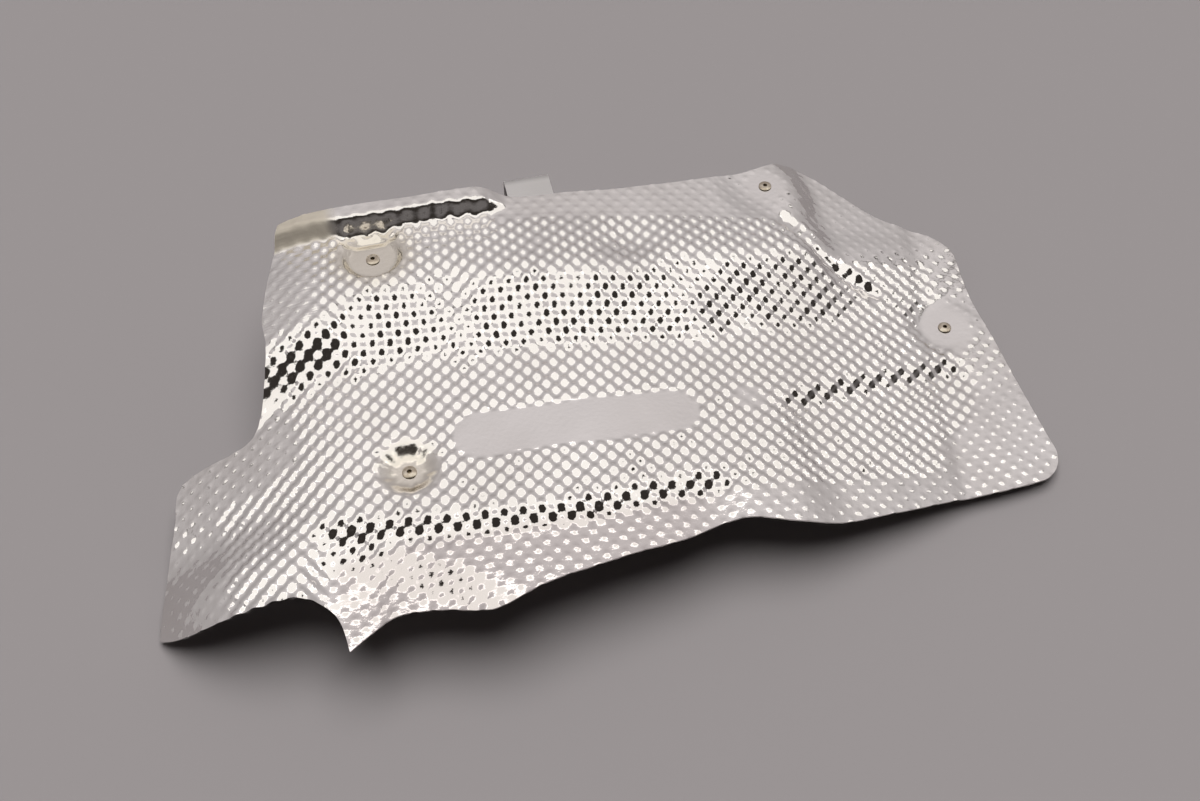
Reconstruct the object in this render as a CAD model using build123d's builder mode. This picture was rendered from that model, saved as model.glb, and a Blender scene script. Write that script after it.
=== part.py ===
from build123d import *
import os
from math import exp, hypot

# Exhaust heat shield: one pressed sheet, four blind rivets and two steel straps behind it.
# Lengths in mm, +X along the panel, +Y to its back edge, +Z up, floor at Z = 0.

# Datum of the press form: middle of the bare label pad, seen from the frame's origin
pad_x = -12.55
pad_y = -47.1
pad_z = 39.3

# Sheet
sheet = 0.8

# Body: leaning and crowned along its length
body_lean = 0.070
crown_radius = 833.0

# Right flange: fold line, how far it is unbent, small step in front of it
flange_x = 172.0
flange_skew = 0.20
flange_bend = 0.25
flange_radius = 8.0
flange_step = 1.5
flange_step_width = 12.0

# Back band: the body is joggled up towards the back edge, less so beside the wing
band_y = 63.0
band_width = 36.0
band_rise = 14.0
band_bow_x = 60.0
band_bow_radius = 833.0
band_turn_x = -70.0
band_turn = 0.45
band_turn_radius = 20.0
band_spread = 8.0
band_spread_run = 50.0
wing_x = 126.0
wing_run = 30.0
wing_drop = 8.0

# Behind the band: crest, falling zone and level back flange
crest_back = 20.0
crest_fall = 0.11
crest_radius = 8.0
back_flange_y = 121.0
back_flange_skew = 0.115
back_flange_x = 10.0
back_flange_radius = 4.0

# Front step, bowed forward, the falling skirt in front of it and its level hem at the left
step_y = -33.0
step_x = 12.0
step_bow_radius = 550.0
step_skew = 0.05
step_soft = 10.0
step_width = 12.0
step_drop = 4.0
step_left = -104.0
step_left_run = 24.0
step_right = 56.0
step_right_run = 20.0
skirt_set = 6.0
skirt_radius = 4.0
skirt_fall = 0.13
front_fall = 0.02
skirt_left = -112.0
skirt_left_run = 24.0
skirt_right = -32.0
skirt_right_run = 40.0
hem_x = -96.0
hem_y = -51.0
hem_skew = -0.58
hem_radius = 5.0

# Lowered pan at the front right, its step running out over the right flange
pan_x = 96.0
pan_y = 4.0
pan_skew = 0.18
pan_drop = 3.5
pan_width = 13.0
pan_start = 26.0
pan_spread = 45.0
pan_spread_x = 182.0
pan_spread_run = 20.0

# Groove between the body and the wing
groove = ((127.0, 105.0), (140.0, 82.0), (160.0, 65.0))
groove_depth = 3.0
groove_width = 3.6

# Left end: turned down, then arched over the pipe
turn_x = -108.0
turn_fall = 0.28
turn_radius = 10.0
turn_run = 44.0
arch_x = -133.0
arch_left = 58.0
arch_drop = 30.0
arch_start = 14.0
arch_run = 66.0

# Tip of the arch's right leg
tip_drop = 8.0
tip_left_run = 22.0
tip_x = -113.0
tip_right_run = 28.0
tip_start = -34.0
tip_run = 24.0

# Lip along the back left edge
lip_y = 127.6
lip_width = 7.0
lip_height = 7.0
lip_end = -2.0
lip_fade = 22.0

# Dents in the crest: position, depth, radius
dents = (((46.0, 96.0), 3.0, 13.0), ((-46.0, 88.0), 2.2, 13.0))

# Rivet seats: position, flat radius, rim radius, depth
seat_lip = (-74.5, 108.5)
seat_dish = (-75.5, -3.5)
seat_back = (123.5, 128.5)
seat_right = (192.0, 43.0)
seats = (
    (seat_lip, 10.0, 15.5, 3.5),
    (seat_dish, 5.5, 14.5, 4.5),
    (seat_back, 11.5, 18.0, 0.0),
    (seat_right, 10.5, 18.0, 0.5),
)

# Outline of the trimmed panel, clockwise from the lip's left end
back_edge = (
    (-114.9, 134.4), (-104.1, 135.8), (-80.3, 136.8), (-47.2, 136.3), (-23.1, 137.0), (-13.8, 136.4),
    (-2.3, 133.8), (7.3, 133.0), (17.3, 133.3), (39.5, 132.5), (59.8, 133.0), (86.0, 135.0),
    (113.6, 139.5), (139.9, 145.6),
)
wing_edge = (
    (144.6, 146.6), (153.4, 142.0), (161.6, 133.5), (171.6, 122.0), (182.0, 112.6), (194.1, 106.0),
    (203.1, 100.4), (210.2, 92.2), (213.0, 83.5),
)
right_edge = ((213.0, 83.5), (212.0, 67.9), (212.2, 46.2), (213.9, 25.2), (215.1, -3.2), (215.8, -31.0))
front_edge = (
    (203.9, -51.0), (181.0, -53.0), (161.1, -54.2), (139.9, -57.2), (120.0, -59.5), (95.6, -61.4),
    (78.0, -58.8), (59.3, -54.5), (48.4, -55.0), (38.6, -57.9), (11.6, -62.0), (-6.1, -64.8),
    (-23.4, -67.7), (-36.6, -71.3), (-49.8, -75.2), (-65.6, -71.4), (-81.4, -68.4), (-93.7, -69.0),
    (-104.4, -74.2), (-111.2, -78.8),
)
arch_edge = (
    (-111.2, -78.8), (-112.7, -67.8), (-115.2, -61.1), (-120.4, -56.2), (-131.3, -53.1), (-141.5, -53.1),
    (-152.2, -52.7), (-170.6, -50.7), (-191.0, -41.0),
)
left_edge = (
    (-191.0, -41.0), (-188.3, -27.9), (-183.7, -5.4), (-179.2, 11.1), (-176.1, 25.5), (-166.2, 30.3),
    (-154.1, 31.7), (-141.9, 34.7), (-134.7, 47.0), (-131.0, 58.2), (-128.0, 74.6), (-128.6, 84.0),
    (-127.3, 92.6), (-123.4, 109.4), (-118.4, 126.2), (-114.9, 134.4),
)
corner_bow = 0.75
corner_round = 4.5
trim_height = 120.0

# Blind rivets
head_radius = 3.2
head_edge = 2.75
head_height = 0.8
shank_radius = 1.6
hole_radius = 1.7
tail_height = 1.1
seat_gap = 0.25
strap_gap = 0.4

# Straps behind the panel
strap = 2.0
strap_width = 16.0
strap_end = 7.0
strap_flat = 9.0

# Leg of the back strap, passing out behind the back flange
leg_x = 6.0
leg_width = 22.0
leg_gap = 2.5
leg_set = 9.0
leg_back = 153.0
leg_bend = 6.0
foot_length = 20.0
foot_hole = 3.3

# Bolt hole of the front strap
bolt_hole = 4.25
bolt_drop = 16.0


# A smooth step from 0 to 1
def blend(t):
    t = min(1.0, max(0.0, t))
    return t * t * t * (t * (6.0 * t - 15.0) + 10.0)


# A bend: nothing before the line, a straight slope behind it
def fold(d, bend):
    if d <= -bend:
        return 0.0
    if d >= bend:
        return d
    return (d + bend) ** 2 / (4.0 * bend)


# Distance of a point from a straight piece of line
def off_line(a, b, x, y):
    ux = b[0] - a[0]
    uy = b[1] - a[1]
    t = ((x - a[0]) * ux + (y - a[1]) * uy) / (ux * ux + uy * uy)
    t = min(1.0, max(0.0, t))
    return hypot(x - a[0] - t * ux, y - a[1] - t * uy)


# Height of the press form over the datum, without the rivet seats
def press(x, y):
    z = -body_lean * x - x * x / (2.0 * crown_radius)
    # Right flange
    fx = flange_x + flange_skew * y
    z += flange_bend * fold(x - fx, flange_radius)
    z -= flange_step * blend((x - fx) / flange_step_width + 0.5)
    # Back band, bent forward at the left end
    crest = band_y + (x - band_bow_x) ** 2 / (2.0 * band_bow_radius)
    line = crest - band_turn * fold(band_turn_x - x, band_turn_radius)
    wide = band_width + band_spread * blend((band_turn_x - x) / band_spread_run)
    rise = band_rise - wing_drop * blend((x - wing_x) / wing_run)
    z += rise * blend((y - line) / wide + 0.5)
    # Fall behind the crest, level back flange
    level = back_flange_y - back_flange_skew * fold(x, back_flange_x)
    z -= crest_fall * (fold(y - crest - crest_back, crest_radius) - fold(y - level, back_flange_radius))
    # Front step and skirt
    line = step_y + fold(step_x - x, step_soft) ** 2 / (2.0 * step_bow_radius)
    line += step_skew * fold(x - step_x, step_soft)
    run = blend((x - step_left) / step_left_run + 0.5) * blend((step_right - x) / step_right_run + 0.5)
    z -= run * step_drop * blend((line - y) / step_width + 0.5)
    tilt = blend((x - skirt_left) / skirt_left_run) * blend((skirt_right - x) / skirt_right_run)
    hem = hem_y + hem_skew * (x - hem_x)
    fallen = fold(line - skirt_set - y, skirt_radius) - fold(hem - y, hem_radius)
    z -= (front_fall + skirt_fall * tilt) * fallen
    # Front right pan
    line = pan_y + pan_skew * (x - pan_x)
    wide = pan_width + pan_spread * blend((x - pan_spread_x) / pan_spread_run)
    z -= pan_drop * blend((line - y) / wide + 0.5) * blend((x - pan_x) / pan_start + 0.5)
    # Wing groove
    off = min(off_line(groove[0], groove[1], x, y), off_line(groove[1], groove[2], x, y))
    z -= groove_depth * exp(-((off / groove_width) ** 2))
    # Left end turned down
    z -= turn_fall * blend((y + turn_run) / turn_run) * fold(turn_x - x, turn_radius)
    # Arch over the pipe, and the low tip of its right leg
    if x < arch_x:
        z -= arch_drop * min(1.3, ((arch_x - x) / arch_left) ** 2) * blend((arch_start - y) / arch_run)
    else:
        share = blend((x - arch_x) / tip_left_run) * (1.0 - blend((x - tip_x) / tip_right_run))
        z -= tip_drop * share * blend((tip_start - y) / tip_run)
    # Lip
    z += lip_height * blend((y - lip_y) / lip_width + 0.5) * blend((lip_end - x) / lip_fade)
    # Dents
    for spot, depth, radius in dents:
        z -= depth * exp(-((x - spot[0]) ** 2 + (y - spot[1]) ** 2) / radius ** 2)
    return z


# Height of the flat of a rivet seat
def seat_level(seat):
    return press(seat[0][0], seat[0][1]) - seat[3]


# Height of the finished form: each seat is a flat that blends into the form at its rim
def height(x, y):
    z = press(x, y)
    for seat in seats:
        away = hypot(x - seat[0][0], y - seat[0][1])
        if away < seat[2]:
            share = 1.0 - blend((away - seat[1]) / (seat[2] - seat[1]))
            z += share * (seat_level(seat) - z)
    return z


os.makedirs("parts", exist_ok=True)

# Sections along the panel and the stations of each, closer together over bends and seats
rows = (-84, -66, -50, -39, -29, -19, -8, 1, 13, 24, 35, 51, 64, 80, 92, 101, 116, 124.5, 131, 150)
stations = (
    -198, -170, -145, -128, -112, -92, -82, -75.5, -69, -59, -26, 4, 46, 90, 115, 123.5, 132, 150, 174, 184,
    192, 200, 224,
)

# Panel: a loft through the sections, trimmed by the outline
with BuildPart() as shield_panel:
    for y in rows:
        with BuildSketch(Plane((pad_x, pad_y + y, pad_z), x_dir=(-1, 0, 0), z_dir=(0, 1, 0))):
            with BuildLine():
                upper = Spline(*[(-x, height(x, y)) for x in reversed(stations)])
                lower = Spline(*[(-x, height(x, y) - sheet) for x in reversed(stations)])
                Line(upper @ 0, lower @ 0)
                Line(upper @ 1, lower @ 1)
            make_face()
    loft(ruled=True)
    with BuildSketch(Plane((pad_x, pad_y, pad_z - trim_height / 2.0))):
        with BuildLine():
            Spline(*back_edge)
            SagittaArc(back_edge[-1], wing_edge[0], corner_bow)
            Spline(*wing_edge)
            Spline(*right_edge)
            SagittaArc(right_edge[-1], front_edge[0], corner_round)
            Spline(*front_edge)
            Spline(*arch_edge)
            Spline(*left_edge)
        make_face()
    extrude(amount=trim_height, mode=Mode.INTERSECT)
    with Locations(*[(pad_x + s[0][0], pad_y + s[0][1], pad_z) for s in seats]):
        Cylinder(hole_radius, trim_height, mode=Mode.SUBTRACT)
shield_panel.part.label = "shield_panel"
export_step(shield_panel.part, "parts/shield_panel.step")

# Blind rivet: low head, shank through sheet and strap
grip = sheet + strap + strap_gap + 2.0 * seat_gap
with BuildPart() as rivet:
    with BuildSketch(Plane.XZ):
        with BuildLine():
            Polyline(
                (head_radius, 0.0),
                (shank_radius, 0.0),
                (shank_radius, -grip - tail_height),
                (0.0, -grip - tail_height),
                (0.0, head_height),
                (head_edge, head_height),
                close=True,
            )
        make_face()
    revolve(axis=Axis.Z)

with BuildPart() as blind_rivets:
    with Locations(
        *[(pad_x + s[0][0], pad_y + s[0][1], pad_z + seat_level(s) + seat_gap) for s in seats]
    ):
        add(rivet.part)
blind_rivets.part.label = "blind_rivets"
export_step(blind_rivets.part, "parts/blind_rivets.step")


# Upright plane along a strap, from the first seat's axis to the second's
def strap_plane(a, b):
    run = hypot(b[0] - a[0], b[1] - a[1])
    ux = (b[0] - a[0]) / run
    uy = (b[1] - a[1]) / run
    return Plane((pad_x + a[0], pad_y + a[1], pad_z), x_dir=(ux, uy, 0), z_dir=(uy, -ux, 0))


# Top of a strap under a seat
def strap_level(seat):
    return seat_level(seat) - sheet - strap_gap


# Back strap: joggled between the lip seat, the leg and the back seat
run = hypot(seat_back[0] - seat_lip[0], seat_back[1] - seat_lip[1])
reach = run * (leg_x - seat_lip[0]) / (seat_back[0] - seat_lip[0])
leg_y = seat_lip[1] + (seat_back[1] - seat_lip[1]) * reach / run
leg_level = height(leg_x, back_flange_y + leg_set) - sheet - leg_gap
near = strap_level(seats[0])
far = strap_level(seats[2])
back_profile = (
    (-strap_end, near), (strap_flat, near), (reach - leg_width / 2.0, leg_level),
    (reach + leg_width / 2.0, leg_level), (run - strap_flat, far), (run + strap_end, far),
)
with BuildPart() as back_strap:
    with BuildSketch(strap_plane(seat_lip, seat_back)):
        with BuildLine():
            Polyline(*back_profile, *[(s, z - strap) for s, z in reversed(back_profile)], close=True)
        make_face()
    extrude(amount=strap_width / 2.0, both=True)
    with BuildLine() as leg:
        FilletPolyline(
            (pad_x + leg_x, pad_y + leg_y, pad_z + leg_level - strap / 2.0),
            (pad_x + leg_x, pad_y + leg_back - strap / 2.0, pad_z + leg_level - strap / 2.0),
            (pad_x + leg_x, pad_y + leg_back - strap / 2.0, strap / 2.0),
            (pad_x + leg_x, pad_y + leg_back + foot_length, strap / 2.0),
            radius=leg_bend,
        )
    with BuildSketch(Plane(leg.line @ 0, x_dir=(1, 0, 0), z_dir=leg.line % 0)):
        Rectangle(leg_width, strap)
    sweep(path=leg.line)
    with Locations(*[(pad_x + s[0], pad_y + s[1], pad_z) for s in (seat_lip, seat_back)]):
        Cylinder(hole_radius, trim_height, mode=Mode.SUBTRACT)
    with Locations((pad_x + leg_x, pad_y + leg_back + foot_length / 2.0, 0.0)):
        Cylinder(foot_hole, 4.0 * strap, mode=Mode.SUBTRACT)
back_strap.part.label = "back_strap"
export_step(back_strap.part, "parts/back_strap.step")

# Front strap: joggled between the dish seat, its bolt hole and the right seat
run = hypot(seat_right[0] - seat_dish[0], seat_right[1] - seat_dish[1])
near = strap_level(seats[1])
far = strap_level(seats[3])
middle = near - bolt_drop
front_profile = (
    (-strap_end, near), (strap_flat, near), (run / 2.0 - strap_width / 2.0, middle),
    (run / 2.0 + strap_width / 2.0, middle), (run - strap_flat, far), (run + strap_end, far),
)
with BuildPart() as front_strap:
    with BuildSketch(strap_plane(seat_dish, seat_right)):
        with BuildLine():
            Polyline(*front_profile, *[(s, z - strap) for s, z in reversed(front_profile)], close=True)
        make_face()
    extrude(amount=strap_width / 2.0, both=True)
    with Locations(*[(pad_x + s[0], pad_y + s[1], pad_z) for s in (seat_dish, seat_right)]):
        Cylinder(hole_radius, trim_height, mode=Mode.SUBTRACT)
    bolt_x = pad_x + (seat_dish[0] + seat_right[0]) / 2.0
    bolt_y = pad_y + (seat_dish[1] + seat_right[1]) / 2.0
    with Locations((bolt_x, bolt_y, pad_z + middle)):
        Cylinder(bolt_hole, 4.0 * strap, mode=Mode.SUBTRACT)
front_strap.part.label = "front_strap"
export_step(front_strap.part, "parts/front_strap.step")
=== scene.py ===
import math

import bpy
import numpy as np
from mathutils import Matrix, Vector
from mathutils.geometry import delaunay_2d_cdt


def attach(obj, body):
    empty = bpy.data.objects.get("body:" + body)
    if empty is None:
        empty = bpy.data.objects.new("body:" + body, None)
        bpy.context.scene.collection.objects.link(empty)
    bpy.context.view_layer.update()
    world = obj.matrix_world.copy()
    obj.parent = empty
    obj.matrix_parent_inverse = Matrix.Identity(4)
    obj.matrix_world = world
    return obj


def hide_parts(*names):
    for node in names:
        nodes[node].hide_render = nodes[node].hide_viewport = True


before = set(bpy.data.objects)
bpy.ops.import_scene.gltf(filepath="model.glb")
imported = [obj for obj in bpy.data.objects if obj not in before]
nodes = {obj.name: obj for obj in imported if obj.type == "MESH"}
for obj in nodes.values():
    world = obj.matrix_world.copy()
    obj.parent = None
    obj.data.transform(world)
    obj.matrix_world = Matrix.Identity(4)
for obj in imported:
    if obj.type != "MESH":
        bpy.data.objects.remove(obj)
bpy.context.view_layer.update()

# Press form of the panel: lengths in mm from the middle of the label pad
MM = 0.001
PAD = np.array((-12.55, -47.1, 39.3))
SHEET = 0.8

# Body, leaning and crowned along its length
BODY_LEAN = 0.070
CROWN_RADIUS = 833.0

# Right flange: fold line, how far it is unbent, small step in front of it
FLANGE_X = 172.0
FLANGE_SKEW = 0.20
FLANGE_BEND = 0.25
FLANGE_RADIUS = 8.0
FLANGE_STEP = 1.5
FLANGE_STEP_WIDTH = 12.0

# Back band: a straight ramp up to the back edge, soft at its left end, lower beside the wing
BAND_Y = 63.0
BAND_WIDTH = 36.0
BAND_RISE = 14.0
BAND_RADIUS = 6.0
BAND_BOW_X = 60.0
BAND_BOW_RADIUS = 833.0
BAND_TURN_X = -70.0
BAND_TURN = 0.47
BAND_TURN_RADIUS = 20.0
BAND_SPREAD = 2.0
BAND_SPREAD_X = -90.0
BAND_SPREAD_RUN = 30.0
BAND_SOFT_X = -104.0
BAND_SOFT_RUN = 16.0
WING_X = 126.0
WING_RUN = 30.0
WING_DROP = 8.0

# Places along the band where the ramp is slack: position and added width
BAND_SLACK = ((-40.0, 13.0), (67.0, 15.0))
BAND_SLACK_RUN = 8.0

# Behind the band: crest, falling zone and level back flange
CREST_BACK = 20.0
CREST_FALL = 0.11
CREST_RADIUS = 8.0
BACK_FLANGE_Y = 121.0
BACK_FLANGE_SKEW = 0.115
BACK_FLANGE_X = 10.0
BACK_FLANGE_RADIUS = 4.0

# Front step, bowed forward, running out on the lobe
STEP_Y = -36.0
STEP_X = 12.0
STEP_BOW_RADIUS = 550.0
STEP_SKEW = 0.05
STEP_SOFT = 10.0
STEP_SET = 3.5
STEP_SET_X = 30.0
STEP_SET_RUN = 50.0
STEP_WIDTH = 16.0
STEP_DROP = 4.0
STEP_LEFT = -104.0
STEP_LEFT_RUN = 24.0
STEP_RIGHT = 56.0
STEP_RIGHT_RUN = 20.0
STEP_TAIL = -120.0
STEP_TAIL_RUN = 20.0
STEP_TAIL_FRONT = -58.0
STEP_TAIL_DEPTH = 20.0

# Skirt in front of the step: a ramp down to its foot, nearly level above it
SKIRT_FALL = 0.13
FRONT_FALL = 0.02
SKIRT_LEFT = -112.0
SKIRT_LEFT_RUN = 24.0
SKIRT_RIGHT = -32.0
SKIRT_RIGHT_RUN = 40.0
SKIRT_REACH = 28.0
FOOT_X = -96.0
FOOT_Y = -51.0
FOOT_SKEW = -0.58
RAMP_WIDTH = 16.0
RAMP_RADIUS = 3.0
SKIRT_LIFT = 0.025
SKIRT_LIFT_SET = 8.0
SKIRT_LIFT_RADIUS = 4.0

# Lowered pan at the front right, its step running out over the right flange
PAN_X = 96.0
PAN_Y = 4.0
PAN_SKEW = 0.18
PAN_DROP = 3.5
PAN_WIDTH = 13.0
PAN_START = 26.0
PAN_SPREAD = 45.0
PAN_SPREAD_X = 182.0
PAN_SPREAD_RUN = 20.0

# Groove between the body and the wing
GROOVE = ((127.0, 105.0), (140.0, 82.0), (160.0, 65.0))
GROOVE_DEPTH = 3.0
GROOVE_WIDTH = 3.6

# Left end: turned down, then arched over the pipe
TURN_X = -108.0
TURN_FALL = 0.28
TURN_RADIUS = 10.0
TURN_RUN = 44.0
ARCH_X = -133.0
ARCH_LEFT = 58.0
ARCH_DROP = 30.0
ARCH_MOST = 1.3
ARCH_START = 14.0
ARCH_RUN = 66.0

# Tip of the arch's right leg
TIP_DROP = 8.0
TIP_LEFT_RUN = 22.0
TIP_X = -113.0
TIP_RIGHT_RUN = 28.0
TIP_START = -22.0
TIP_RUN = 42.0

# Lip along the back left edge, its wall leaning more at the left end
LIP_Y = 127.6
LIP_WIDTH = 7.0
LIP_SPREAD = 2.0
LIP_SPREAD_X = -88.0
LIP_SPREAD_RUN = 8.0
LIP_HEIGHT = 7.0
LIP_END = -2.0
LIP_FADE = 22.0
LIP_TOP = 19.95
LIP_TOP_RADIUS = 0.3

# Dents in the crest: position, depth, radius
DENTS = (((46.0, 96.0), 3.0, 13.0), ((-46.0, 88.0), 2.2, 13.0))

# Rivet seats: position, flat radius, rim radius, depth
SEATS = (
    ((-74.5, 108.5), 10.0, 15.5, 3.5),
    ((-75.5, -3.5), 4.5, 16.5, 4.5),
    ((123.5, 128.5), 4.5, 30.0, 0.0),
    ((192.0, 43.0), 9.0, 22.0, 0.5),
)
LIP_SEAT, DISH_SEAT = SEATS[:2]
SPOTS = tuple(seat[0] for seat in SEATS)

# Scoop that opens the first seat towards the lip's wall
SCOOP_DEPTH = 2.4
SCOOP_HALF = 15.0
SCOOP_SIDE = 6.0
SCOOP_START = 6.0
SCOOP_RUN = 7.0
SCOOP_END = 20.5
SCOOP_END_RUN = 5.0


# A smooth step from 0 to 1
def blend(t):
    t = np.clip(t, 0.0, 1.0)
    return t * t * t * (t * (6.0 * t - 15.0) + 10.0)


# Share of the way past a limit, over a run centred on it
def past(value, limit, run):
    return blend((value - limit) / run + 0.5)


# Share of the way past a limit, over a run that starts on it
def after(value, limit, run):
    return blend((value - limit) / run)


# A bend: nothing before the line, a straight slope behind it
def fold(d, bend):
    soft = (np.clip(d, -bend, bend) + bend) ** 2 / (4.0 * bend)
    return np.where(d >= bend, d, soft)


# A round hollow or mound, as a share of its depth
def mound(x, y, spot, radius):
    return np.exp(-((x - spot[0]) ** 2 + (y - spot[1]) ** 2) / radius ** 2)


# Distance of points from a straight piece of line
def off_line(a, b, x, y):
    ux, uy = b[0] - a[0], b[1] - a[1]
    t = np.clip(((x - a[0]) * ux + (y - a[1]) * uy) / (ux * ux + uy * uy), 0.0, 1.0)
    return np.sqrt((x - a[0] - t * ux) ** 2 + (y - a[1] - t * uy) ** 2)


# Distance of points from a chain of straight pieces
def off_chain(chain, x, y):
    away = np.full(x.shape, np.inf)
    for a, b in zip(chain, chain[1:]):
        away = np.minimum(away, off_line(a, b, x, y))
    return away


def body(x, y):
    z = -BODY_LEAN * x - x * x / (2.0 * CROWN_RADIUS)
    from_flange = x - (FLANGE_X + FLANGE_SKEW * y)
    z = z + FLANGE_BEND * fold(from_flange, FLANGE_RADIUS)
    return z - FLANGE_STEP * past(from_flange, 0.0, FLANGE_STEP_WIDTH)


def back_band(x, y):
    crest = BAND_Y + (x - BAND_BOW_X) ** 2 / (2.0 * BAND_BOW_RADIUS)
    line = crest - BAND_TURN * fold(BAND_TURN_X - x, BAND_TURN_RADIUS)
    wide = BAND_WIDTH + BAND_SPREAD * after(BAND_SPREAD_X, x, BAND_SPREAD_RUN)
    for middle, added in BAND_SLACK:
        wide = wide + added * np.exp(-(((x - middle) / BAND_SLACK_RUN) ** 2))
    rise = BAND_RISE - WING_DROP * after(x, WING_X, WING_RUN)
    soft = past(y, line, wide)
    straight = fold(y - line + wide / 2.0, BAND_RADIUS) - fold(y - line - wide / 2.0, BAND_RADIUS)
    share = after(x, BAND_SOFT_X, BAND_SOFT_RUN)
    z = rise * (soft + (straight / wide - soft) * share)
    level = BACK_FLANGE_Y - BACK_FLANGE_SKEW * fold(x, BACK_FLANGE_X)
    fallen = fold(y - crest - CREST_BACK, CREST_RADIUS) - fold(y - level, BACK_FLANGE_RADIUS)
    return z - CREST_FALL * fallen


# Line along which the skirt's ramp meets its foot
def skirt_foot(x):
    return FOOT_Y + FOOT_SKEW * (x - FOOT_X)


def front_step(x, y):
    line = STEP_Y + fold(STEP_X - x, STEP_SOFT) ** 2 / (2.0 * STEP_BOW_RADIUS)
    line = line + STEP_SKEW * fold(x - STEP_X, STEP_SOFT)
    line = line - STEP_SET * after(STEP_SET_X, x, STEP_SET_RUN)
    right = past(STEP_RIGHT, x, STEP_RIGHT_RUN)
    run = past(x, STEP_LEFT, STEP_LEFT_RUN) * right
    tail = past(x, STEP_TAIL, STEP_TAIL_RUN) * right - run
    tail = tail * after(y, STEP_TAIL_FRONT, STEP_TAIL_DEPTH)
    z = -STEP_DROP * past(line, y, STEP_WIDTH) * (run + tail)
    tilt = after(x, SKIRT_LEFT, SKIRT_LEFT_RUN) * after(SKIRT_RIGHT, x, SKIRT_RIGHT_RUN)
    foot = skirt_foot(x)
    drop = (FRONT_FALL + SKIRT_FALL * tilt) * np.clip(line - foot, 0.0, SKIRT_REACH)
    ramp = fold(foot + RAMP_WIDTH - y, RAMP_RADIUS) - fold(foot - y, RAMP_RADIUS)
    z = z - drop * ramp / RAMP_WIDTH
    lift = fold(line - SKIRT_LIFT_SET - y, SKIRT_LIFT_RADIUS) - fold(foot - y, SKIRT_LIFT_RADIUS)
    return z + SKIRT_LIFT * run * lift


def front_pan(x, y):
    line = PAN_Y + PAN_SKEW * (x - PAN_X)
    wide = PAN_WIDTH + PAN_SPREAD * after(x, PAN_SPREAD_X, PAN_SPREAD_RUN)
    return -PAN_DROP * past(line, y, wide) * past(x, PAN_X, PAN_START)


def wing_groove(x, y):
    return -GROOVE_DEPTH * np.exp(-((off_chain(GROOVE, x, y) / GROOVE_WIDTH) ** 2))


def left_end(x, y):
    z = -TURN_FALL * after(y, -TURN_RUN, TURN_RUN) * fold(TURN_X - x, TURN_RADIUS)
    arch = np.minimum(ARCH_MOST, ((ARCH_X - x) / ARCH_LEFT) ** 2) * after(ARCH_START, y, ARCH_RUN)
    tip = after(x, ARCH_X, TIP_LEFT_RUN) * (1.0 - after(x, TIP_X, TIP_RIGHT_RUN))
    tip = tip * after(TIP_START, y, TIP_RUN)
    return z - np.where(x < ARCH_X, ARCH_DROP * arch, TIP_DROP * tip)


def back_lip(x, y):
    wide = LIP_WIDTH + LIP_SPREAD * after(LIP_SPREAD_X, x, LIP_SPREAD_RUN)
    return LIP_HEIGHT * past(y, LIP_Y, wide) * after(LIP_END, x, LIP_FADE)


# Height of the press form over the datum, without the rivet seats
def press(x, y):
    z = body(x, y) + back_band(x, y) + front_step(x, y) + front_pan(x, y)
    z = z + wing_groove(x, y) + left_end(x, y) + back_lip(x, y)
    for spot, depth, radius in DENTS:
        z = z - depth * mound(x, y, spot, radius)
    return z


# Level of the flat of a rivet seat
def seat_level(seat):
    sx, sy = seat[0]
    return float(press(np.array(sx), np.array(sy))) - seat[-1]


# Height of the finished form: each seat is a flat that blends into the form at its rim
def form(x, y):
    z = press(x, y)
    for seat in SEATS:
        (sx, sy), flat, rim = seat[:3]
        share = 1.0 - after(np.hypot(x - sx, y - sy), flat, rim - flat)
        z = z + share * (seat_level(seat) - z)
    sx, sy = LIP_SEAT[0]
    wide = after(SCOOP_HALF, np.abs(x - sx), SCOOP_SIDE)
    long = after(y - sy, SCOOP_START, SCOOP_RUN) * after(sy + SCOOP_END, y, SCOOP_END_RUN)
    return z - SCOOP_DEPTH * wide * long


# Outline of the trimmed panel, clockwise from the lip's left end
BACK_EDGE = (
    (-114.9, 134.4), (-104.1, 135.8), (-80.3, 136.8), (-47.2, 136.3), (-23.1, 137.0), (-13.8, 136.4),
    (-2.3, 133.8), (7.3, 133.0), (17.3, 133.3), (39.5, 132.5), (59.8, 133.0), (86.0, 135.0),
    (113.6, 139.5), (139.9, 145.6),
)
WING_EDGE = (
    (144.6, 146.6), (153.4, 142.0), (161.6, 133.5), (171.6, 122.0), (182.0, 112.6), (194.1, 106.0),
    (203.1, 100.4), (210.2, 92.2), (213.0, 83.5),
)
RIGHT_EDGE = ((213.0, 83.5), (212.0, 67.9), (212.2, 46.2), (213.9, 25.2), (215.1, -3.2), (215.8, -31.0))
FRONT_EDGE = (
    (203.9, -51.0), (181.0, -53.0), (161.1, -54.2), (139.9, -57.2), (120.0, -59.5), (95.6, -61.4),
    (78.0, -58.8), (59.3, -54.5), (48.4, -55.0), (38.6, -57.9), (11.6, -62.0), (-6.1, -64.8),
    (-23.4, -67.7), (-36.6, -71.3), (-49.8, -75.2), (-65.6, -71.4), (-81.4, -68.4), (-93.7, -69.0),
    (-104.4, -74.2), (-111.2, -78.8),
)
ARCH_EDGE = (
    (-111.2, -78.8), (-112.7, -67.8), (-115.2, -61.1), (-120.4, -56.2), (-131.3, -53.1), (-141.5, -53.1),
    (-152.2, -52.7), (-170.6, -50.7), (-191.0, -41.0),
)
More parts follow.
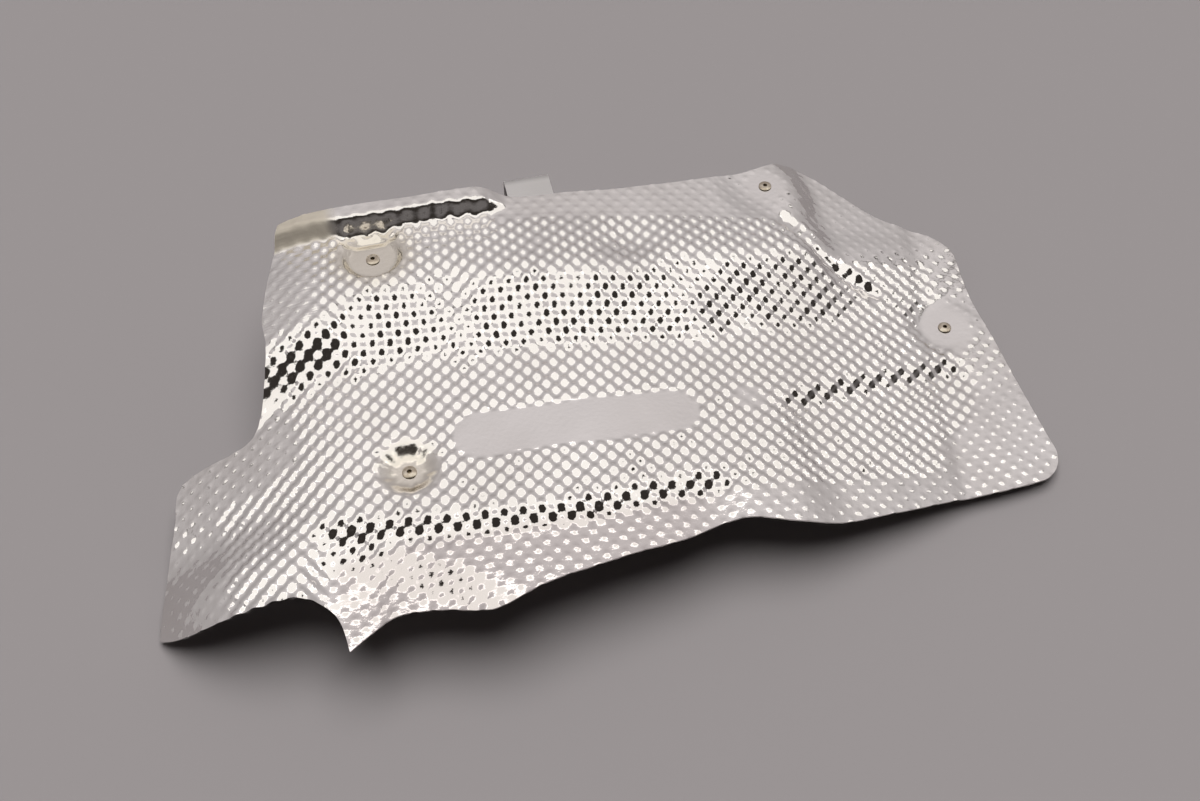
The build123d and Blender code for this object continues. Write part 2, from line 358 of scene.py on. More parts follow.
LEFT_EDGE = (
    (-191.0, -41.0), (-188.3, -27.9), (-183.7, -5.4), (-179.2, 11.1), (-176.1, 25.5), (-166.2, 30.3),
    (-154.1, 31.7), (-141.9, 34.7), (-134.7, 47.0), (-131.0, 58.2), (-128.0, 74.6), (-128.6, 84.0),
    (-127.3, 92.6), (-123.4, 109.4), (-118.4, 126.2), (-114.9, 134.4),
)

# Rises of the corner arcs, and furthest reach of the right flange
WING_CORNER = 0.75
FRONT_CORNER = 4.5
RIGHT_END = 216.1


# Slope at the first of four points of a curve through them
def end_slope(t, p):
    slope = np.zeros(2)
    for i in range(4):
        others = [j for j in range(4) if j != i]
        scale = np.prod([t[i] - t[j] for j in others])
        if i == 0:
            rise = sum(np.prod([t[0] - t[k] for k in others if k != j]) for j in others)
        else:
            rise = np.prod([t[0] - t[k] for k in others if k != 0])
        slope += p[i] * rise / scale
    return slope


# Smooth curve through points, as evenly spaced points without the last one
def smooth_run(points, step):
    p = np.array(points, float)
    gap = np.hypot(*np.diff(p, axis=0).T)
    t = np.concatenate(([0.0], np.cumsum(gap)))
    n = len(p)
    a = np.zeros((n, n))
    b = np.zeros((n, 2))
    a[0, 0] = a[-1, -1] = 1.0
    b[0] = end_slope(t[:4], p[:4])
    b[-1] = -end_slope(t[-1] - t[::-1][:4], p[::-1][:4])
    for i in range(1, n - 1):
        a[i, i - 1], a[i, i], a[i, i + 1] = gap[i], 2.0 * (gap[i - 1] + gap[i]), gap[i - 1]
        b[i] = 3.0 * (gap[i] * (p[i] - p[i - 1]) / gap[i - 1] + gap[i - 1] * (p[i + 1] - p[i]) / gap[i])
    d = np.linalg.solve(a, b)
    s = np.linspace(0.0, t[-1], max(2, round(t[-1] / step) + 1))[:-1]
    i = np.clip(np.searchsorted(t, s, side="right") - 1, 0, n - 2)
    h = gap[i][:, None]
    w = ((s - t[i]) / gap[i])[:, None]
    return (
        p[i] * (1 + 2 * w) * (1 - w) ** 2 + d[i] * h * w * (1 - w) ** 2
        + p[i + 1] * w * w * (3 - 2 * w) + d[i + 1] * h * w * w * (w - 1)
    )


# Corner arc between two points with a given rise, left of the way
def corner_run(a, b, rise, step):
    a, b = np.array(a), np.array(b)
    chord = np.hypot(*(b - a))
    radius = (chord * chord / 4.0 + rise * rise) / (2.0 * rise)
    half = math.asin(chord / 2.0 / radius)
    along = (b - a) / chord
    left = np.array((-along[1], along[0]))
    middle = (a + b) / 2.0 + left * (rise - radius)
    turn = np.linspace(-half, half, max(3, round(2 * half * radius / step) + 1))[:-1]
    return middle + radius * (np.sin(turn)[:, None] * along + np.cos(turn)[:, None] * left)


def outline(step):
    ring = np.concatenate((
        smooth_run(BACK_EDGE, step),
        corner_run(BACK_EDGE[-1], WING_EDGE[0], WING_CORNER, step),
        smooth_run(WING_EDGE, step),
        smooth_run(RIGHT_EDGE, step),
        corner_run(RIGHT_EDGE[-1], FRONT_EDGE[0], FRONT_CORNER, step),
        smooth_run(FRONT_EDGE, step),
        smooth_run(ARCH_EDGE, step),
        smooth_run(LEFT_EDGE, step),
    ))
    ring[:, 0] = np.minimum(ring[:, 0], RIGHT_END)
    return ring


# Inside of a closed line
def inside(ring, x, y):
    within = np.zeros(x.shape, bool)
    for (ax, ay), (bx, by) in zip(ring, np.roll(ring, -1, axis=0)):
        if ay != by:
            within ^= ((ay > y) != (by > y)) & (x < (bx - ax) * (y - ay) / (by - ay) + ax)
    return within


# Embossing: four-sided bumps and dimples in lines, turned a little on the panel
EMBOSS_TURN = math.radians(-6.1)
EMBOSS_PITCH = 8.0
EMBOSS_HEIGHT = 0.86
FACET = 0.95

# Flattened bumps: their height along the panel, and the part of a bump that is left
DOTS = ((-150.0, -110.0, 40.0, 120.0), (0.55, 0.44, 0.40, 0.42))
DOT_START = 0.10

# Lines behind which the press flattens the bumps: lip, back flange, wing
LIP_LIMIT = 124.5
LIP_LIMIT_SHIFT = 6.0
LIP_LIMIT_X = -94.0
LIP_LIMIT_RUN = 8.0
LIP_RIGHT = -15.0
BACK_LIMIT = 118.5
BACK_LIMIT_X = 10.0
BACK_LIMIT_RADIUS = 10.0
BACK_RUN = 4.0
WING_LEFT = (141.0, 4.0)
WING_FRONT = (80.0, 5.0)

# Right limit of the bumps over the depth, and front limit over the length
RIGHT_LIMIT = (
    (-60.0, -40.0, -25.0, -10.0, 5.0, 20.0, 30.0, 62.0, 80.0),
    (158.0, 160.0, 163.0, 185.0, 193.0, 193.0, 190.0, 194.0, 196.0),
)
RIGHT_RUN = 7.0
FRONT_LIMIT = (
    (-200.0, -130.0, -112.0, -100.0, -60.0, 0.0, 50.0, 70.0, 150.0, 170.0),
    (-64.0, -60.0, -50.0, -42.0, -42.0, -44.0, -41.0, -40.0, -40.0, -34.0),
)
FRONT_RUN = 5.0

# Bumps left standing on the ramp of the skirt
RAMP_SHARE = 0.55
RAMP_LEFT = (-112.0, 10.0)
RAMP_RIGHT = -46.0
RAMP_RIGHT_RUN = 14.0
RAMP_BACK = 20.0
RAMP_FRONT = 5.0
RAMP_EDGE = 6.0

# Lobe: flat left end, flat back corner, worn patch beside the arch's right leg
LOBE_END = (-158.0, 8.0)
CORNER_RIGHT = -121.0
CORNER_RIGHT_RUN = 10.0
CORNER_Y = 5.0
CORNER_LEAN = 0.5
CORNER_X = -140.0
CORNER_RADIUS = 10.0
CORNER_RUN = 8.0
CORNER_BACK = 37.0
CORNER_BACK_RUN = 6.0
LEG_SPOT = (-111.0, -48.0)
LEG_RADIUS = 15.0
LEG_WORN = 0.75

# Left edge of the flank, and left plateau beside the lip
FLANK_X = -121.0
FLANK_RUN = 8.0
FLANK_FRONT = (34.0, 8.0)
FLANK_WORN = 0.70
PLATEAU_X = -102.0
PLATEAU_RUN = 14.0
PLATEAU_FRONT = (76.0, 10.0)
PLATEAU_WORN = 0.75

# Label pad: middle line, half width, and the shallow step round it
LABEL = ((-43.0, 6.2), (43.0, 4.2))
LABEL_HALF = 12.0
LABEL_RUN = 2.0
LABEL_STEP = 0.30
LABEL_STEP_HALF = 12.5

# Ejector mark
MARK = (80.0, 7.0)
MARK_RADIUS = 7.0
MARK_RUN = 4.0
MARK_WORN = 0.7

# Bare pads round the rivets: position, stretch along the panel, radius, run
BARE_PADS = (
    ((-74.5, 108.5), 1.15, 14.0, 4.0),
    ((-75.5, -3.5), 1.0, 14.0, 3.0),
    ((123.5, 128.5), 1.0, 9.0, 5.0),
    ((191.0, 45.0), 0.8, 16.0, 4.0),
)

# Waves of a handled sheet: lengths along and across the panel, start
WAVES = ((5.2, 9.1, 0.4), (8.7, -6.3, 2.1), (-11.9, 4.6, 1.3), (3.9, 17.0, 4.0))
RIPPLES = ((2.7, -8.2, 0.9), (21.0, 5.9, 0.0))
WAVE_HEIGHT = 0.030
WAVE_FLAT_HEIGHT = 0.012
WAVE_ON_BUMPS = 0.07

# Slight drift of the rows of bumps, in pitches
DRIFT = 0.034
ROW_DRIFT = (23.0, 7.7, 0.0)
LINE_DRIFT = (9.4, -31.0, 0.0)

# Radial wrinkles in the dished seat: folds round the seat, start, share
WRINKLES = ((9.0, 0.6, 1.0), (14.0, 2.0, 0.6))
WRINKLE_HEIGHT = 0.20
WRINKLE_START = 4.0
WRINKLE_REACH = 3.0
WRINKLE_FADE = 6.0


# Places turned about the datum
def turned(x, y, angle):
    c, s = math.cos(angle), math.sin(angle)
    return x * c - y * s, x * s + y * c


# Share of the embossing that the press leaves standing
def standing(x, y):
    lip = LIP_LIMIT + LIP_LIMIT_SHIFT * after(x, LIP_LIMIT_X, LIP_LIMIT_RUN)
    flange = BACK_LIMIT - BACK_FLANGE_SKEW * fold(x - BACK_LIMIT_X, BACK_LIMIT_RADIUS)
    m = past(np.where(x < LIP_RIGHT, lip, flange), y, BACK_RUN)
    m *= 1.0 - past(x, *WING_LEFT) * past(y, *WING_FRONT)
    m *= past(np.interp(y, *RIGHT_LIMIT), x, RIGHT_RUN)
    m *= past(y, np.interp(x, *FRONT_LIMIT), FRONT_RUN)
    foot = skirt_foot(x)
    ramp = after(x, *RAMP_LEFT) * after(RAMP_RIGHT, x, RAMP_RIGHT_RUN)
    ramp *= after(foot + RAMP_BACK, y, RAMP_EDGE) * after(y, foot - RAMP_FRONT, RAMP_EDGE)
    m = np.maximum(m, RAMP_SHARE * ramp)
    m *= past(x, *LOBE_END)
    corner = CORNER_Y + CORNER_LEAN * fold(x - CORNER_X, CORNER_RADIUS)
    corner = past(y, corner, CORNER_RUN) * past(CORNER_BACK, y, CORNER_BACK_RUN)
    m *= 1.0 - corner * past(CORNER_RIGHT, x, CORNER_RIGHT_RUN)
    m *= 1.0 - FLANK_WORN * past(FLANK_X, x, FLANK_RUN) * after(y, *FLANK_FRONT)
    m *= 1.0 - LEG_WORN * mound(x, y, LEG_SPOT, LEG_RADIUS)
    return m * (1.0 - PLATEAU_WORN * past(PLATEAU_X, x, PLATEAU_RUN) * past(y, *PLATEAU_FRONT))


# Share left by the bare pads: label, ejector mark, rivet seats
def bare(x, y):
    m = past(off_line(*LABEL, x, y), LABEL_HALF, LABEL_RUN)
    m *= 1.0 - MARK_WORN * past(MARK_RADIUS, np.hypot(x - MARK[0], y - MARK[1]), MARK_RUN)
    for (px, py), stretch, radius, run in BARE_PADS:
        m *= past(np.hypot((x - px) / stretch, y - py), radius, run)
    return m


def wave_of(x, y, along, across, start):
    return np.sin(x / along + y / across + start)


# Unevenness of a handled sheet: long shallow waves
def uneven(x, y):
    waves = sum(wave_of(x, y, *wave) for wave in WAVES)
    return waves + wave_of(x, y, *RIPPLES[0]) * wave_of(x, y, *RIPPLES[1])


# Radial wrinkles drawn into the dished seat
def wrinkles(x, y):
    (sx, sy), flat, rim = DISH_SEAT[:3]
    away = np.hypot(x - sx, y - sy)
    turn = np.arctan2(y - sy, x - sx)
    share = after(away, flat, WRINKLE_START) * after(rim + WRINKLE_REACH, away, WRINKLE_FADE)
    return share * sum(part * np.sin(folds * turn + start) for folds, start, part in WRINKLES)


# A wave with straight flanks and rounded tops
def facet(t):
    return np.arcsin(FACET * np.cos(2 * np.pi * t)) / math.asin(FACET)


# Height of the embossing over the form
def emboss(x, y):
    u, v = turned(x, y, -EMBOSS_TURN)
    u = u / EMBOSS_PITCH + DRIFT * wave_of(x, y, *ROW_DRIFT)
    v = v / EMBOSS_PITCH + DRIFT * wave_of(x, y, *LINE_DRIFT)
    wave = 0.5 * (facet(u + v) + facet(u - v))
    m = standing(x, y)
    worn = uneven(x, y)
    dots = np.interp(x, *DOTS) * blend((wave - DOT_START) / (1.0 - DOT_START))
    bumps = m * wave * (1.0 + WAVE_ON_BUMPS * worn) + (1.0 - m) * dots
    z = EMBOSS_HEIGHT * bare(x, y) * bumps
    z = z + (WAVE_HEIGHT + WAVE_FLAT_HEIGHT * (1.0 - m)) * worn + WRINKLE_HEIGHT * wrinkles(x, y)
    return z - LABEL_STEP * past(LABEL_STEP_HALF, off_line(*LABEL, x, y), LABEL_RUN)


# Upper side of the sheet, no higher than the lip's top
def surface(x, y):
    return LIP_TOP - fold(LIP_TOP - form(x, y) - emboss(x, y), LIP_TOP_RADIUS)


# Folded hem under the arch's edge
HEM = 2.4
HEM_LEAN = 0.5
HEM_REACH = 4.5
HEM_RUN = 3.5
HEM_LEFT = (-189.0, 20.0)
HEM_RIGHT = -112.0
HEM_RIGHT_RUN = 5.0
HEM_STEP = 1.5


def hem(x, y):
    away = off_chain(smooth_run(ARCH_EDGE, HEM_STEP), x, y)
    return HEM * after(HEM_REACH, away, HEM_RUN) * after(x, *HEM_LEFT) * after(HEM_RIGHT, x, HEM_RIGHT_RUN)


# Blank: triangles over the trimmed outline with the rivet holes left out
HOLE = 1.7
HOLE_SIDES = 24
HOLE_CLEAR = 0.4
HOLE_INSIDE = 0.97
EDGE_STEP = 1.1
EDGE_CLEAR = 0.55
TOP_STEP = 1.0
LOW_STEP = 2.0
SPAN = 240.0
FIELD_X = (-200.0, 225.0)
FIELD_Y = (-82.0, 146.0)
WITHIN_LOOPS = 1
SAME_POINT = 1e-5


# Lattice points of the blank, clear of its edge and its holes
def blank_points(step, ring):
    u = np.arange(-SPAN, SPAN + step, step)
    u, v = (g.ravel() for g in np.meshgrid(u, u))
    x, y = turned(u, v, EMBOSS_TURN)
    keep = (x > FIELD_X[0]) & (x < FIELD_X[1]) & (y > FIELD_Y[0]) & (y < FIELD_Y[1])
    x, y = x[keep], y[keep]
    away = off_chain(np.concatenate((ring, ring[:1])), x, y)
    keep = inside(ring, x, y) & (away > EDGE_CLEAR * step)
    for sx, sy in SPOTS:
        keep &= np.hypot(x - sx, y - sy) > HOLE + HOLE_CLEAR * step
    return np.stack((x[keep], y[keep]), 1)


def blank(step, ring):
    points = [ring]
    loops = [list(range(len(ring)))]
    turn = np.arange(HOLE_SIDES) * 2 * np.pi / HOLE_SIDES
    for sx, sy in SPOTS:
        first = sum(len(p) for p in points)
        points.append(np.stack((sx + HOLE * np.cos(turn), sy + HOLE * np.sin(turn)), 1))
        loops.append(list(range(first, first + HOLE_SIDES)))
    points.append(blank_points(step, ring))
    edges = [(a, b) for loop in loops for a, b in zip(loop, loop[1:] + loop[:1])]
    flat_points = [Vector(p) for p in np.concatenate(points)]
    made = delaunay_2d_cdt(flat_points, edges, [], WITHIN_LOOPS, SAME_POINT)
    place = np.array([tuple(p) for p in made[0]])
    faces = np.array(made[2])
    middle = place[faces].mean(axis=1)
    good = np.ones(len(faces), bool)
    for sx, sy in SPOTS:
        good &= np.hypot(middle[:, 0] - sx, middle[:, 1] - sy) > HOLE * HOLE_INSIDE
    names = {tuple(f)[0]: i for i, f in enumerate(made[3]) if f}
    rings = [[names[i] for i in loop] for loop in loops]
    return place, faces[good], rings


# Direction square to the sheet
SLOPE_GAP = 0.25


def upward(x, y):
    dx = (surface(x + SLOPE_GAP, y) - surface(x - SLOPE_GAP, y)) / (2 * SLOPE_GAP)
    dy = (surface(x, y + SLOPE_GAP) - surface(x, y - SLOPE_GAP)) / (2 * SLOPE_GAP)
    n = np.stack((-dx, -dy, np.ones(x.shape)), -1)
    return n / np.linalg.norm(n, axis=-1, keepdims=True)


# Sharpest angles that are shaded smooth
PANEL_SMOOTH = math.radians(55.0)
RIVET_SMOOTH = math.radians(40.0)


# Panel: upper side, underside one sheet below it, and the cut edges between them
def pressed_panel():
    ring = outline(EDGE_STEP)
    top, top_faces, top_rings = blank(TOP_STEP, ring)
    low, low_faces, low_rings = blank(LOW_STEP, ring)
    top_points = np.column_stack((top, surface(top[:, 0], top[:, 1])))
    low_points = np.column_stack((low, surface(low[:, 0], low[:, 1])))
    low_points = low_points - SHEET * upward(low[:, 0], low[:, 1])
    folded = hem(low[:, 0], low[:, 1])
    low_points[:, 1] += HEM_LEAN * folded
    low_points[:, 2] -= folded
    verts = (np.concatenate((top_points, low_points)) + PAD) * MM
    count = len(top)
    faces = [tuple(f) for f in top_faces]
    faces += [tuple(count + i for i in reversed(f)) for f in low_faces.tolist()]
    for over, under in zip(top_rings, low_rings):
        for i in range(len(over)):
            j = (i + 1) % len(over)
            faces.append((over[i], over[j], count + under[j], count + under[i]))
    mesh = bpy.data.meshes.new("pressed_panel")
    mesh.from_pydata(verts.tolist(), [], faces)
    mesh.validate()
    piece = bpy.data.objects.new("pressed_panel", mesh)
    bpy.context.scene.collection.objects.link(piece)
    bpy.ops.object.select_all(action="DESELECT")
    piece.select_set(True)
    bpy.context.view_layer.objects.active = piece
    bpy.ops.object.mode_set(mode="EDIT")
    bpy.ops.mesh.select_all(action="SELECT")
    bpy.ops.mesh.normals_make_consistent(inside=False)
    bpy.ops.object.mode_set(mode="OBJECT")
    bpy.ops.object.shade_smooth_by_angle(angle=PANEL_SMOOTH)
    return piece


# Middle of a rivet seat, in metres in the frame
def spot_of(seat):
    sx, sy = seat[0]
    return tuple(float(c) for c in (np.array((sx, sy, seat_level(seat))) + PAD) * MM)


# Blind rivets, turned step by step: radius and level from the shank's end to the mandrel's hole
RIVET_STEPS = (
    (1.6, -4.3), (1.6, 0.25), (3.2, 0.25), (3.15, 0.45), (2.8, 0.70), (2.2, 0.90), (1.5, 1.03),
    (1.05, 1.05), (0.98, 0.92), (0.95, -1.15), (0.05, -1.20),
)
RIVET_SIDES = 32


def rivet(spot):
    bpy.ops.object.select_all(action="DESELECT")
    radius, level = RIVET_STEPS[0]
    x, y, z = spot
    bpy.ops.mesh.primitive_circle_add(
        vertices=RIVET_SIDES, radius=radius * MM, fill_type="NGON", location=(x, y, z + level * MM)
    )
    piece = bpy.context.object
    bpy.ops.object.transform_apply(location=True, rotation=False, scale=False)
    bpy.ops.object.mode_set(mode="EDIT")
    bpy.ops.mesh.select_all(action="SELECT")
    for wide, high in RIVET_STEPS[1:]:
        rise = (0.0, 0.0, (high - level) * MM)
        bpy.ops.mesh.extrude_region_move(TRANSFORM_OT_translate={"value": rise})
        ratio = wide / radius
        bpy.ops.transform.resize(value=(ratio, ratio, 1.0), center_override=(x, y, z + high * MM))
        radius, level = wide, high
    bpy.ops.mesh.select_all(action="SELECT")
    bpy.ops.mesh.normals_make_consistent(inside=False)
    bpy.ops.object.mode_set(mode="OBJECT")
    return piece


def blind_rivets():
    pieces = [rivet(spot_of(seat)) for seat in SEATS]
    bpy.ops.object.select_all(action="DESELECT")
    for piece in pieces:
        piece.select_set(True)
    bpy.context.view_layer.objects.active = pieces[0]
    bpy.ops.object.join()
    piece = bpy.context.object
    piece.name = piece.data.name = "set_rivets"
    bpy.ops.object.shade_smooth_by_angle(angle=RIVET_SMOOTH)
    return piece


# A shader value: a node's output that can be added, multiplied and so on
class Flow:
    def __init__(self, socket):
        self.socket = socket

    # One more node: its type, its settings and what goes into its sockets
    def made(self, kind, settings, sockets, out=0):
        tree = self.socket.id_data
        node = tree.nodes.new(kind)
        for name, value in settings.items():
            setattr(node, name, value)
        for name, value in sockets.items():
            if isinstance(value, Flow):
                tree.links.new(value.socket, node.inputs[name])
            else:
                node.inputs[name].default_value = value
        return Flow(node.outputs[out])

    def maths(self, operation, *values):
        return self.made("ShaderNodeMath", {"operation": operation}, dict(enumerate(values)))

    def __add__(self, other):
        return self.maths("ADD", self, other)

    def __sub__(self, other):
        return self.maths("SUBTRACT", self, other)

    def __rsub__(self, other):
        return self.maths("SUBTRACT", other, self)

    def __mul__(self, other):
        return self.maths("MULTIPLY", self, other)

    def __truediv__(self, other):
        return self.maths("DIVIDE", self, other)

    def __rtruediv__(self, other):
        return self.maths("DIVIDE", other, self)

    def __pow__(self, other):
        return self.maths("POWER", self, other)

    __radd__ = __add__
    __rmul__ = __mul__

    # Smooth 0 to 1 between two levels
    def step(self, low, high):
        sockets = {"Value": self, "From Min": low, "From Max": high}
        return self.made("ShaderNodeMapRange", {"interpolation_type": "SMOOTHSTEP"}, sockets)

    def noise(self, scale, detail, stretch=(1.0, 1.0, 1.0)):
        place = self.made("ShaderNodeMapping", {}, {"Vector": self, "Scale": stretch})
        return self.made("ShaderNodeTexNoise", {}, {"Vector": place, "Scale": scale, "Detail": detail})

    # Mix of two colours, with this value as the second one's share
    def colour(self, first, second):
        return self.made("ShaderNodeMix", {"data_type": "RGBA"}, {0: self, 6: first, 7: second}, 2)

    def away_from(self, spot):
        return self.made("ShaderNodeVectorMath", {"operation": "DISTANCE"}, {0: self, 1: spot}, "Value")

    def apart(self, axis):
        return self.made("ShaderNodeSeparateXYZ", {}, {"Vector": self}, axis)


# A metal with its own place to read patterns from
def metal(name):
    material = bpy.data.materials.new(name)
    material.use_nodes = True
    shader = material.node_tree.nodes["Principled BSDF"]
    shader.inputs["Metallic"].default_value = 1.0
    place = material.node_tree.nodes.new("ShaderNodeTexCoord")
    return material, shader, Flow(place.outputs["Object"])


def feed(shader, name, value):
    value.socket.id_data.links.new(value.socket, shader.inputs[name])


def bumped(height, strength, distance):
    sockets = {"Strength": strength, "Distance": distance, "Height": height}
    return height.made("ShaderNodeBump", {}, sockets)


# Colours of the sheet, the straps and the rivets
BRIGHT_SHEET = (0.88, 0.86, 0.845, 1.0)
DULL_SHEET = (0.80, 0.775, 0.755, 1.0)
HEAT_TINT = (0.78, 0.72, 0.60, 1.0)
# Painted shade: a darker pinkish colour for the skirt and the arch's tip, standing in for their dimmer
# reflection
SKIRT_PAINTED_SHADE = (0.70, 0.655, 0.64, 1.0)
BRIGHT_STRAP = (0.84, 0.83, 0.82, 1.0)
DULL_STRAP = (0.70, 0.69, 0.68, 1.0)
BRIGHT_RIVET = (0.70, 0.64, 0.54, 1.0)
DULL_RIVET = (0.50, 0.43, 0.34, 1.0)
# Painted shade: near black for the insides of the mandrel holes
HOLE_PAINTED_SHADE = (0.035, 0.03, 0.026, 1.0)

# Patterns in the metals: scale, detail, and stretch where they run one way
SMUDGE = (16.0, 5.0)
FINE_GRAIN = (420.0, 3.0)
CRINKLE = (520.0, 2.0)
STREAK = (60.0, 4.0, (0.6, 14.0, 6.0))
STRAP_BRUSH = (90.0, 4.0, (1.0, 12.0, 12.0))
STRAP_CLOUD = (35.0, 3.0)
RIVET_CLOUD = (500.0, 3.0)
SMUDGE_LEVELS = (0.35, 0.75)
RIVET_LEVELS = (0.3, 0.7)
BUMP_DEPTH = 0.0002
SHEET_BUMP = 0.5
STRAP_BUMP = 0.25

# Fields on the sheet, in metres: heat tint, brushed plateau, warm rim of the lip, painted shade on the
# skirt and the arch's tip
LIP_TINT = (0.012, 0.026)
DISH_TINT = (0.006, 0.019)
BRUSHED_RIGHT = (-0.120, -0.104)
BRUSHED_FRONT = (0.020, 0.036)
RIM_RIGHT = (-0.107, -0.098)
RIM_FRONT = (0.0755, 0.0785)
PAINTED_SHADE_BACK = (-0.090, -0.082)
PAINTED_SHADE_LEFT = (-0.130, -0.120)
PAINTED_SHADE_RIGHT = (0.020, 0.050)
PAINTED_SHADE_SHARE = 0.75
# Painted shade: radii over which the mandrel holes go dark
MANDREL_HOLE_SHADE_RADII = (0.00098, 0.00106)
TINT_WARMTH = 0.6
RIM_WARMTH = 0.7

# Roughness of the metals, and what each pattern adds to it
SHEET_ROUGH = 0.055
TONE_ROUGH = 0.05
GRAIN_ROUGH = 0.05
STREAK_ROUGH = 0.10
WARM_ROUGH = 0.20
RIM_ROUGH = 0.42
STRAP_ROUGH = 0.34
BRUSH_ROUGH = 0.18
CLOUD_ROUGH = 0.10
RIVET_ROUGH = 0.20
RIVET_CLOUD_ROUGH = 0.16

# Shares of the patterns in the sheet's fine relief
CRINKLE_RELIEF = 0.9
SMUDGE_RELIEF = 0.5
STREAK_RELIEF = 2.2


def embossed_aluminium():
    material, shader, place = metal("embossed_aluminium")
    smudge = place.noise(*SMUDGE)
    streak = place.noise(*STREAK)
    x, y = place.apart("X"), place.apart("Y")
    tint = 1.0 - place.away_from(spot_of(LIP_SEAT)).step(*LIP_TINT)
    tint = tint + (1.0 - place.away_from(spot_of(DISH_SEAT)).step(*DISH_TINT))
    brushed = (1.0 - x.step(*BRUSHED_RIGHT)) * y.step(*BRUSHED_FRONT)
    rim = (1.0 - x.step(*RIM_RIGHT)) * y.step(*RIM_FRONT)
    warm = tint * TINT_WARMTH + rim * RIM_WARMTH
    # Painted shade: mask of the skirt in front of the step and the arch's tip, whose base colour is
    # darkened
    skirt_painted_shade = (1.0 - y.step(*PAINTED_SHADE_BACK)) * x.step(*PAINTED_SHADE_LEFT) * (1.0 - x.step(*PAINTED_SHADE_RIGHT))
    tone = smudge.step(*SMUDGE_LEVELS)
    base = warm.colour(tone.colour(BRIGHT_SHEET, DULL_SHEET), HEAT_TINT)
    feed(shader, "Base Color", (PAINTED_SHADE_SHARE * skirt_painted_shade).colour(base, SKIRT_PAINTED_SHADE))
    rough = SHEET_ROUGH + TONE_ROUGH * tone + GRAIN_ROUGH * place.noise(*FINE_GRAIN)
    rough = rough + STREAK_ROUGH * brushed * streak + WARM_ROUGH * warm + RIM_ROUGH * rim
    feed(shader, "Roughness", rough)
    relief = CRINKLE_RELIEF * place.noise(*CRINKLE) + SMUDGE_RELIEF * smudge
    relief = relief + STREAK_RELIEF * brushed * streak
    feed(shader, "Normal", bumped(relief, SHEET_BUMP, BUMP_DEPTH))
    return material


def strap_steel():
    material, shader, place = metal("strap_steel")
    brush = place.noise(*STRAP_BRUSH)
    cloud = place.noise(*STRAP_CLOUD)
    feed(shader, "Base Color", cloud.colour(BRIGHT_STRAP, DULL_STRAP))
    feed(shader, "Roughness", STRAP_ROUGH + BRUSH_ROUGH * brush + CLOUD_ROUGH * cloud)
    feed(shader, "Normal", bumped(brush, STRAP_BUMP, BUMP_DEPTH))
    return material


# Plated steel, with painted shade making the mandrel holes dark
def rivet_steel():
    material, shader, place = metal("rivet_steel")
    cloud = place.noise(*RIVET_CLOUD)
    steel = cloud.step(*RIVET_LEVELS).colour(BRIGHT_RIVET, DULL_RIVET)
    # Painted shade: the rivets' base colour is made near black inside each mandrel hole
    hole_painted_shade = 0.0
    for seat in SEATS:
        hole_painted_shade = hole_painted_shade + (1.0 - place.away_from(spot_of(seat)).step(*MANDREL_HOLE_SHADE_RADII))
    feed(shader, "Base Color", hole_painted_shade.colour(steel, HOLE_PAINTED_SHADE))
    feed(shader, "Roughness", RIVET_ROUGH + RIVET_CLOUD_ROUGH * cloud)
    return material


panel = pressed_panel()
panel.data.materials.append(embossed_aluminium())
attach(panel, "root")
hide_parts("shield_panel")
rivets = blind_rivets()
rivets.data.materials.append(rivet_steel())
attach(rivets, "root")
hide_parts("blind_rivets")
steel = strap_steel()
for name in ("back_strap", "front_strap"):
    nodes[name].data.materials.clear()
    nodes[name].data.materials.append(steel)

# Floor: a wide grey sheet just under the shield
FLOOR_SIZE = 12.0
FLOOR_LEVEL = -0.0005
FLOOR_GREY = (0.204, 0.189, 0.189, 1.0)
FLOOR_ROUGHNESS = 0.9

bpy.ops.object.select_all(action="DESELECT")
bpy.ops.mesh.primitive_plane_add(size=FLOOR_SIZE, location=(0.0, 0.0, FLOOR_LEVEL))
floor = bpy.context.object
floor.name = "studio_floor"
floor_paint = bpy.data.materials.new("studio_floor")
floor_paint.use_nodes = True
floor_shader = floor_paint.node_tree.nodes["Principled BSDF"]
floor_shader.inputs["Base Color"].default_value = FLOOR_GREY
floor_shader.inputs["Roughness"].default_value = FLOOR_ROUGHNESS
floor_shader.inputs["Specular IOR Level"].default_value = 0.0
floor.data.materials.append(floor_paint)

# Light: a wide soft box overhead, and a soft key from behind for the floor's shadow
BOX_LENGTH = 3.4
BOX_DEPTH = 1.05
BOX_POWER = 11.9
BOX_WARMTH = (1.0, 0.97, 0.93)
BOX_PLACE = (0.1, -0.025, 1.2)
KEY_SPREAD = math.radians(58.0)
KEY_POWER = 4.38
KEY_WAY = Vector((-0.06, -0.22, -0.97))

lamp = bpy.data.lights.new("soft_box", "AREA")
lamp.shape = "RECTANGLE"
lamp.size = BOX_LENGTH
lamp.size_y = BOX_DEPTH
lamp.energy = BOX_POWER
lamp.color = BOX_WARMTH
soft_box = bpy.data.objects.new("soft_box", lamp)
soft_box.location = BOX_PLACE
soft_box.visible_diffuse = False
bpy.context.scene.collection.objects.link(soft_box)
key_lamp = bpy.data.lights.new("back_key", "SUN")
key_lamp.angle = KEY_SPREAD
key_lamp.energy = KEY_POWER
back_key = bpy.data.objects.new("back_key", key_lamp)
back_key.rotation_euler = KEY_WAY.to_track_quat("-Z", "Y").to_euler()
back_key.visible_glossy = False
bpy.context.scene.collection.objects.link(back_key)

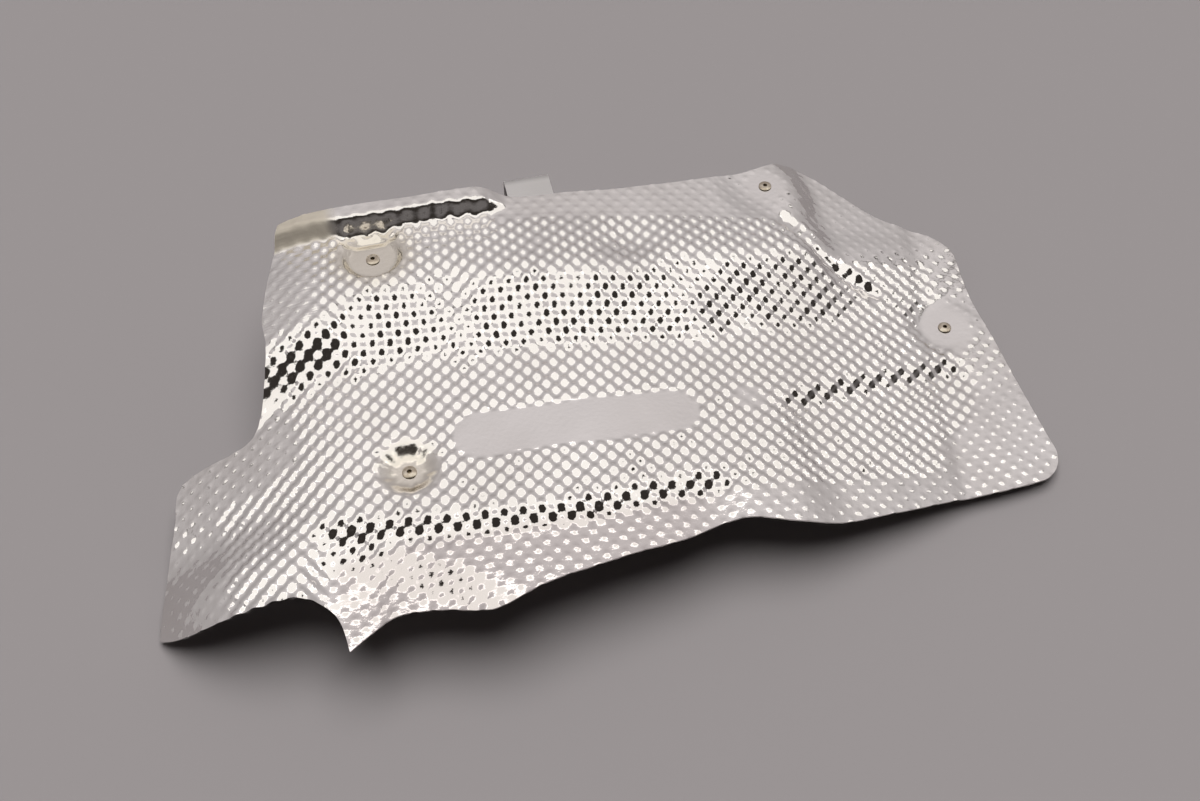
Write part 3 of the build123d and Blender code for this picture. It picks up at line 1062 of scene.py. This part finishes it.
# Room: bright behind and at the sides, dark in front with a low glow, plain to the camera itself
ROOM_DARK = (0.034, 0.029, 0.026, 1.0)
ROOM_BRIGHT = (0.81, 0.765, 0.765, 1.0)
BACKDROP = (0.328, 0.296, 0.287, 1.0)
BEHIND = (0.30, 0.42)
ASIDE = (0.44, 0.64)
ASIDE_FRONT = (-0.30, 0.10)
RIGHT_SIDE = (0.0, 0.5)
RIGHT_GAIN = 0.10
LOW_LIGHT = 0.48
HIGH_GAIN = 0.52
GLOW_START = (0.0, 0.10)
GLOW_END = (0.20, 0.62)
GLOW = 0.16

world = bpy.data.worlds.new("studio")
bpy.context.scene.world = world
world.use_nodes = True
tree = world.node_tree
way = Flow(tree.nodes.new("ShaderNodeTexCoord").outputs["Generated"])
looked_at = Flow(tree.nodes.new("ShaderNodeLightPath").outputs["Is Camera Ray"])
across, along, height = way.apart("X"), way.apart("Y"), way.apart("Z")
aside = (across ** 2.0).step(*ASIDE) * along.step(*ASIDE_FRONT)
behind = along.step(*BEHIND)
behind = behind + (1.0 - behind) * aside
lit = behind * (LOW_LIGHT + HIGH_GAIN * height ** 2.0) * (1.0 + RIGHT_GAIN * across.step(*RIGHT_SIDE))
low = (1.0 - behind) * height.step(*GLOW_START) * (1.0 - height.step(*GLOW_END))
room = (lit + GLOW * low).colour(ROOM_DARK, ROOM_BRIGHT)
feed(tree.nodes["Background"], "Color", looked_at.colour(room, BACKDROP))

# Camera: over the front edge, looking down and to the back right
LENS = 42.75
SENSOR = 36.0
CAMERA_PLACE = (-0.08365, -0.3938, 0.5481)
CAMERA_RIGHT = Vector((0.9744, -0.2250, 0.0))
CAMERA_UP = Vector((0.1820, 0.7883, 0.5878))
CAMERA_AHEAD = Vector((0.1322, 0.5727, -0.8090))

camera_data = bpy.data.cameras.new("camera")
camera_data.lens = LENS
camera_data.sensor_width = SENSOR
camera = bpy.data.objects.new("camera", camera_data)
camera_axes = Matrix((CAMERA_RIGHT, CAMERA_UP, -CAMERA_AHEAD)).transposed().to_4x4()
camera.matrix_world = Matrix.Translation(CAMERA_PLACE) @ camera_axes
bpy.context.scene.collection.objects.link(camera)
bpy.context.scene.camera = camera
bpy.context.scene.view_settings.view_transform = "Standard"

bpy.context.view_layer.update()
